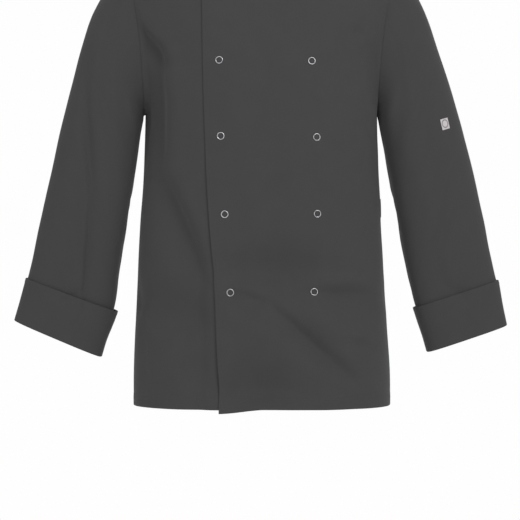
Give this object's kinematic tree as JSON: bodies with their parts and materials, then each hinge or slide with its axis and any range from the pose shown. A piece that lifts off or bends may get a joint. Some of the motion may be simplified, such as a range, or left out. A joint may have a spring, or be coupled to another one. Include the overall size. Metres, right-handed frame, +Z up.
{
  "type": "chef jacket",
  "caption": "Long-sleeved double-breasted chef jacket in charcoal cloth, filled out, with ring press studs, a stand collar and turned-back cuffs.",
  "frame": {"origin": "middle of the neck opening, level with the points where the shoulder seams meet the neck", "axes": "+Z up the body, -Y out of the front, +X towards the wearer's left"},
  "size_m": [0.8263, 0.2657, 0.8082],
  "materials": {
    "front_left": "matt charcoal twill of polyester and cotton, topstitched in the same colour",
    "front_right": "matt charcoal twill of polyester and cotton, topstitched in the same colour",
    "back": "matt charcoal twill of polyester and cotton, topstitched in the same colour",
    "sleeve_left": "matt charcoal twill of polyester and cotton, topstitched in the same colour",
    "sleeve_right": "matt charcoal twill of polyester and cotton, topstitched in the same colour",
    "cuff_left": "matt charcoal twill of polyester and cotton, topstitched in the same colour",
    "cuff_right": "matt charcoal twill of polyester and cotton, topstitched in the same colour",
    "collar": "matt charcoal twill of polyester and cotton, topstitched in the same colour",
    "stud_ring": "bright nickel-plated brass",
    "sleeve_label": "pale satin weave with a grey oval ring",
    "side_tag": "dark woven tape with a slightly paler edge"
  },
  "bodies": {
    "root": {"front_left": "front_left", "front_right": "front_right", "back": "back", "sleeve_left": "sleeve_left", "sleeve_right": "sleeve_right", "cuff_left": "cuff_left", "cuff_right": "cuff_right", "collar": "collar", "stud_r1": "stud_ring", "stud_r2": "stud_ring", "stud_r3": "stud_ring", "stud_r4": "stud_ring", "stud_r5": "stud_ring", "stud_l1": "stud_ring", "stud_l2": "stud_ring", "stud_l3": "stud_ring", "stud_l4": "stud_ring", "stud_l5": "stud_ring", "sleeve_label": "sleeve_label", "side_tag": "side_tag"}
  },
  "joints": []
}
